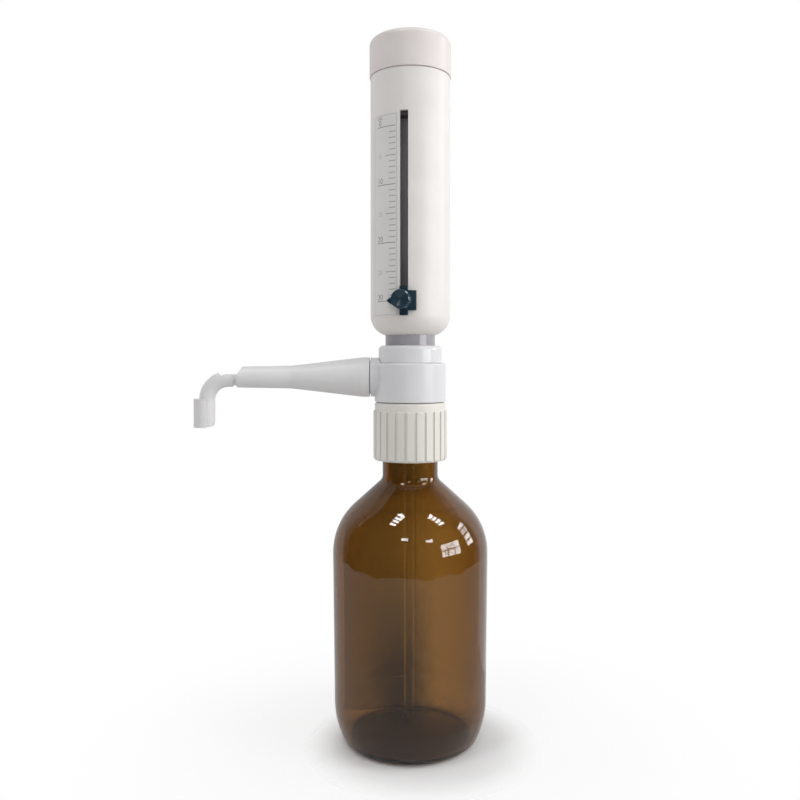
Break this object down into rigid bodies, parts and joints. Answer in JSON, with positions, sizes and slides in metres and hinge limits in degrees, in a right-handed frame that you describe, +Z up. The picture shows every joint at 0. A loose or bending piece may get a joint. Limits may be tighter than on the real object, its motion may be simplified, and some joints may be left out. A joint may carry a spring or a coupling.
{
  "type": "bottle top dispenser",
  "caption": "Bottle with a screw-on dispensing head: a lifted and pressed sleeve meters liquid through ball valves and a side spout, with a sliding clamp pointer for the volume.",
  "frame": {"origin": "centre of the bottle's foot ring, on the surface that it stands on", "axes": "+Z up along the bottle and barrel axis, -X along the spout, -Y towards the side that the scale faces"},
  "size_m": [0.1521, 0.0798, 0.3592],
  "materials": {
    "amber_glass": "polished",
    "clear_glass": "polished",
    "clear_tube": "smooth",
    "white_plastic": "satin",
    "cap_plastic": "satin",
    "cream_plastic": "moulded",
    "pale_grey_plastic": "satin",
    "block_plastic": "satin",
    "slate_plastic": "moulded",
    "scale_film": "printed film",
    "navy_plastic": "moulded",
    "white_seal": "turned",
    "dark_seal": "moulded",
    "steel": "turned",
    "rod_aluminium": "anodised",
    "ball_glass": "polished"
  },
  "bodies": {
    "bottle": {"bottle": "amber_glass"},
    "gasket": {"mouth_gasket": "white_seal"},
    "head": {"valve_block": "block_plastic", "collar_retainer": "white_plastic", "intake_valve_body": "white_seal", "intake_ball_stop": "white_seal", "intake_tube": "clear_tube", "barrel_seal": "white_seal", "glass_barrel": "clear_glass", "barrel_guard": "slate_plastic", "guide_ring": "white_plastic", "ring_nut": "block_plastic", "discharge_valve_body": "white_seal", "discharge_spring": "steel", "discharge_tube": "white_seal", "spout_sheath": "pale_grey_plastic", "spout_guard": "pale_grey_plastic", "nozzle_shoe": "pale_grey_plastic"},
    "collar": {"screw_collar": "cream_plastic"},
    "intake_ball": {"intake_ball": "ball_glass"},
    "discharge_ball": {"discharge_ball": "ball_glass"},
    "piston": {"piston": "white_seal", "piston_seals": "dark_seal"},
    "sleeve": {"piston_rod": "rod_aluminium", "rod_lock_nut": "steel", "sleeve": "white_plastic", "scale_panel": "scale_film", "top_cap": "cap_plastic"},
    "pointer": {"pointer_slider": "navy_plastic", "pointer_stop": "navy_plastic"},
    "knob": {"clamp_screw": "steel", "clamp_knob": "navy_plastic"}
  },
  "joints": [
    {"name": "head_lift", "type": "slide", "parent": "bottle", "child": "gasket", "axis": [0, 0, 1], "range_m": [0, 0.17]},
    {"name": "head_turn", "type": "hinge", "parent": "gasket", "child": "head", "pos_m": [0, 0, 0.168], "axis": [0, 0, 1], "continuous": true},
    {"name": "collar_turn", "type": "hinge", "parent": "head", "child": "collar", "pos_m": [0, 0, 0.158], "axis": [0, 0, 1], "continuous": true},
    {"name": "sleeve_stroke", "type": "slide", "parent": "head", "child": "piston", "axis": [0, 0, 1], "range_m": [0, 0.0866]},
    {"name": "sleeve_turn", "type": "hinge", "parent": "piston", "child": "sleeve", "pos_m": [0, 0, 0.2], "axis": [0, 0, 1], "continuous": true},
    {"name": "pointer_set", "type": "slide", "parent": "sleeve", "child": "pointer", "axis": [0, 0, 1], "range_m": [0, 0.0866]},
    {"name": "knob_turn", "type": "hinge", "parent": "pointer", "child": "knob", "pos_m": [0, 0, 0.2243], "axis": [-0.165, -0.9863, 0], "range_deg": [0, 270]},
    {"name": "intake_ball_lift", "type": "slide", "parent": "head", "child": "intake_ball", "axis": [0, 0, 1], "range_m": [0, 0.0012]},
    {"name": "discharge_ball_lift", "type": "slide", "parent": "head", "child": "discharge_ball", "axis": [-1, 0, 0], "range_m": [0, 0.0012], "stiffness_N_per_m": 20, "springref_m": -0.002, "deforming": ["discharge_spring"]}
  ]
}
